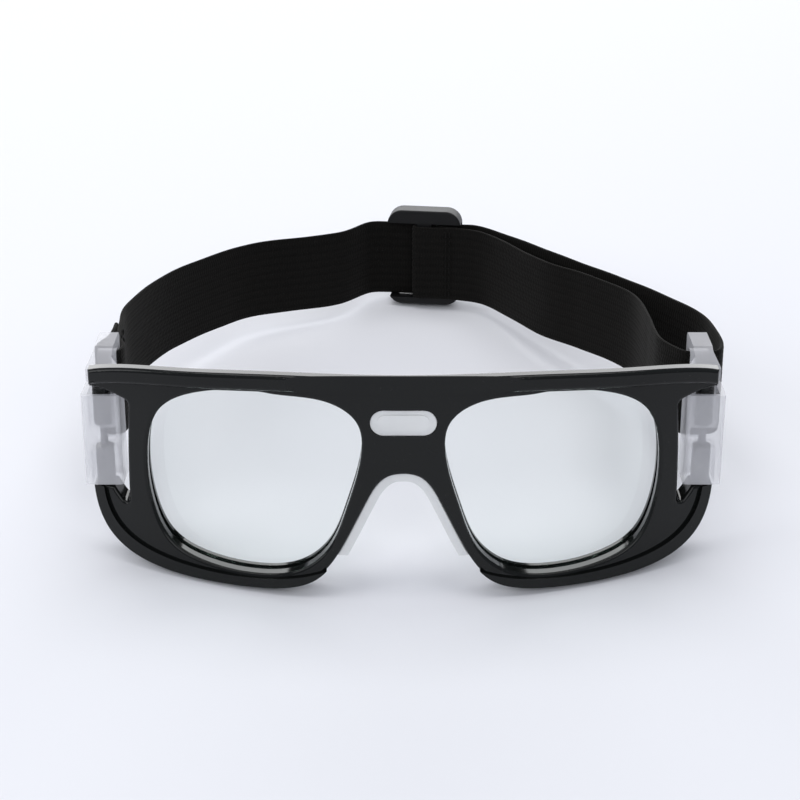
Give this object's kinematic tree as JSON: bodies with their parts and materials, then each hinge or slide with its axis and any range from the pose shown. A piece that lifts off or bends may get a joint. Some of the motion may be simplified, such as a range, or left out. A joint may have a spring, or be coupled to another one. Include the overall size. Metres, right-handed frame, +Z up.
{
  "type": "sports protective goggles",
  "caption": "Wrap-round sports goggles with clear lenses, a soft nose saddle, hinged side clips and an elastic head strap with a sliding adjuster.",
  "frame": {"origin": "middle of the overall box, on the table surface that the lower rims and the adjuster stand on", "axes": "+X to the wearer's left, +Y towards the back of the head, +Z up from the table; the goggles lean back about 9 degrees"},
  "size_m": [0.1746, 0.1724, 0.0634],
  "materials": {
    "frame_plastic": "polished black",
    "lens_clear": "clear, hard coated",
    "saddle_silicone": "milky translucent, satin",
    "pin_steel": "blackened",
    "clip_plastic": "frosted translucent",
    "strap_elastic": "woven elastic, matte",
    "adjuster_plastic": "fine satin"
  },
  "bodies": {
    "frame": {"front_frame": "frame_plastic", "lens_right": "lens_clear", "lens_left": "lens_clear", "nose_pad": "saddle_silicone", "hinge_pin_right": "pin_steel", "hinge_pin_left": "pin_steel", "strap_run_left": "strap_elastic", "strap_outer_right": "strap_elastic", "strap_inner_right": "strap_elastic"},
    "clip_right": {"side_clip_right": "clip_plastic", "strap_turn_right": "strap_elastic"},
    "clip_left": {"side_clip_left": "clip_plastic", "strap_eye_left": "strap_elastic"},
    "adjuster": {"adjuster": "adjuster_plastic", "strap_pass": "strap_elastic", "strap_wrap": "strap_elastic"}
  },
  "joints": [
    {"name": "clip_right_hinge", "type": "hinge", "parent": "frame", "child": "clip_right", "pos_m": [0.07838, -0.05838, 0.034], "axis": [0, 0.1567, 0.9876], "range_deg": [-10, 40], "deforming": ["strap_outer_right", "strap_inner_right"]},
    {"name": "clip_left_hinge", "type": "hinge", "parent": "frame", "child": "clip_left", "pos_m": [-0.08223, -0.05838, 0.034], "axis": [0, -0.1567, -0.9876], "range_deg": [-10, 40], "deforming": ["strap_run_left"]},
    {"name": "adjuster_slide", "type": "slide", "parent": "frame", "child": "adjuster", "axis": [0.9903, -0.1375, 0.0218], "range_m": [-0.008, 0.008], "deforming": ["strap_run_left", "strap_outer_right", "strap_inner_right"]}
  ]
}
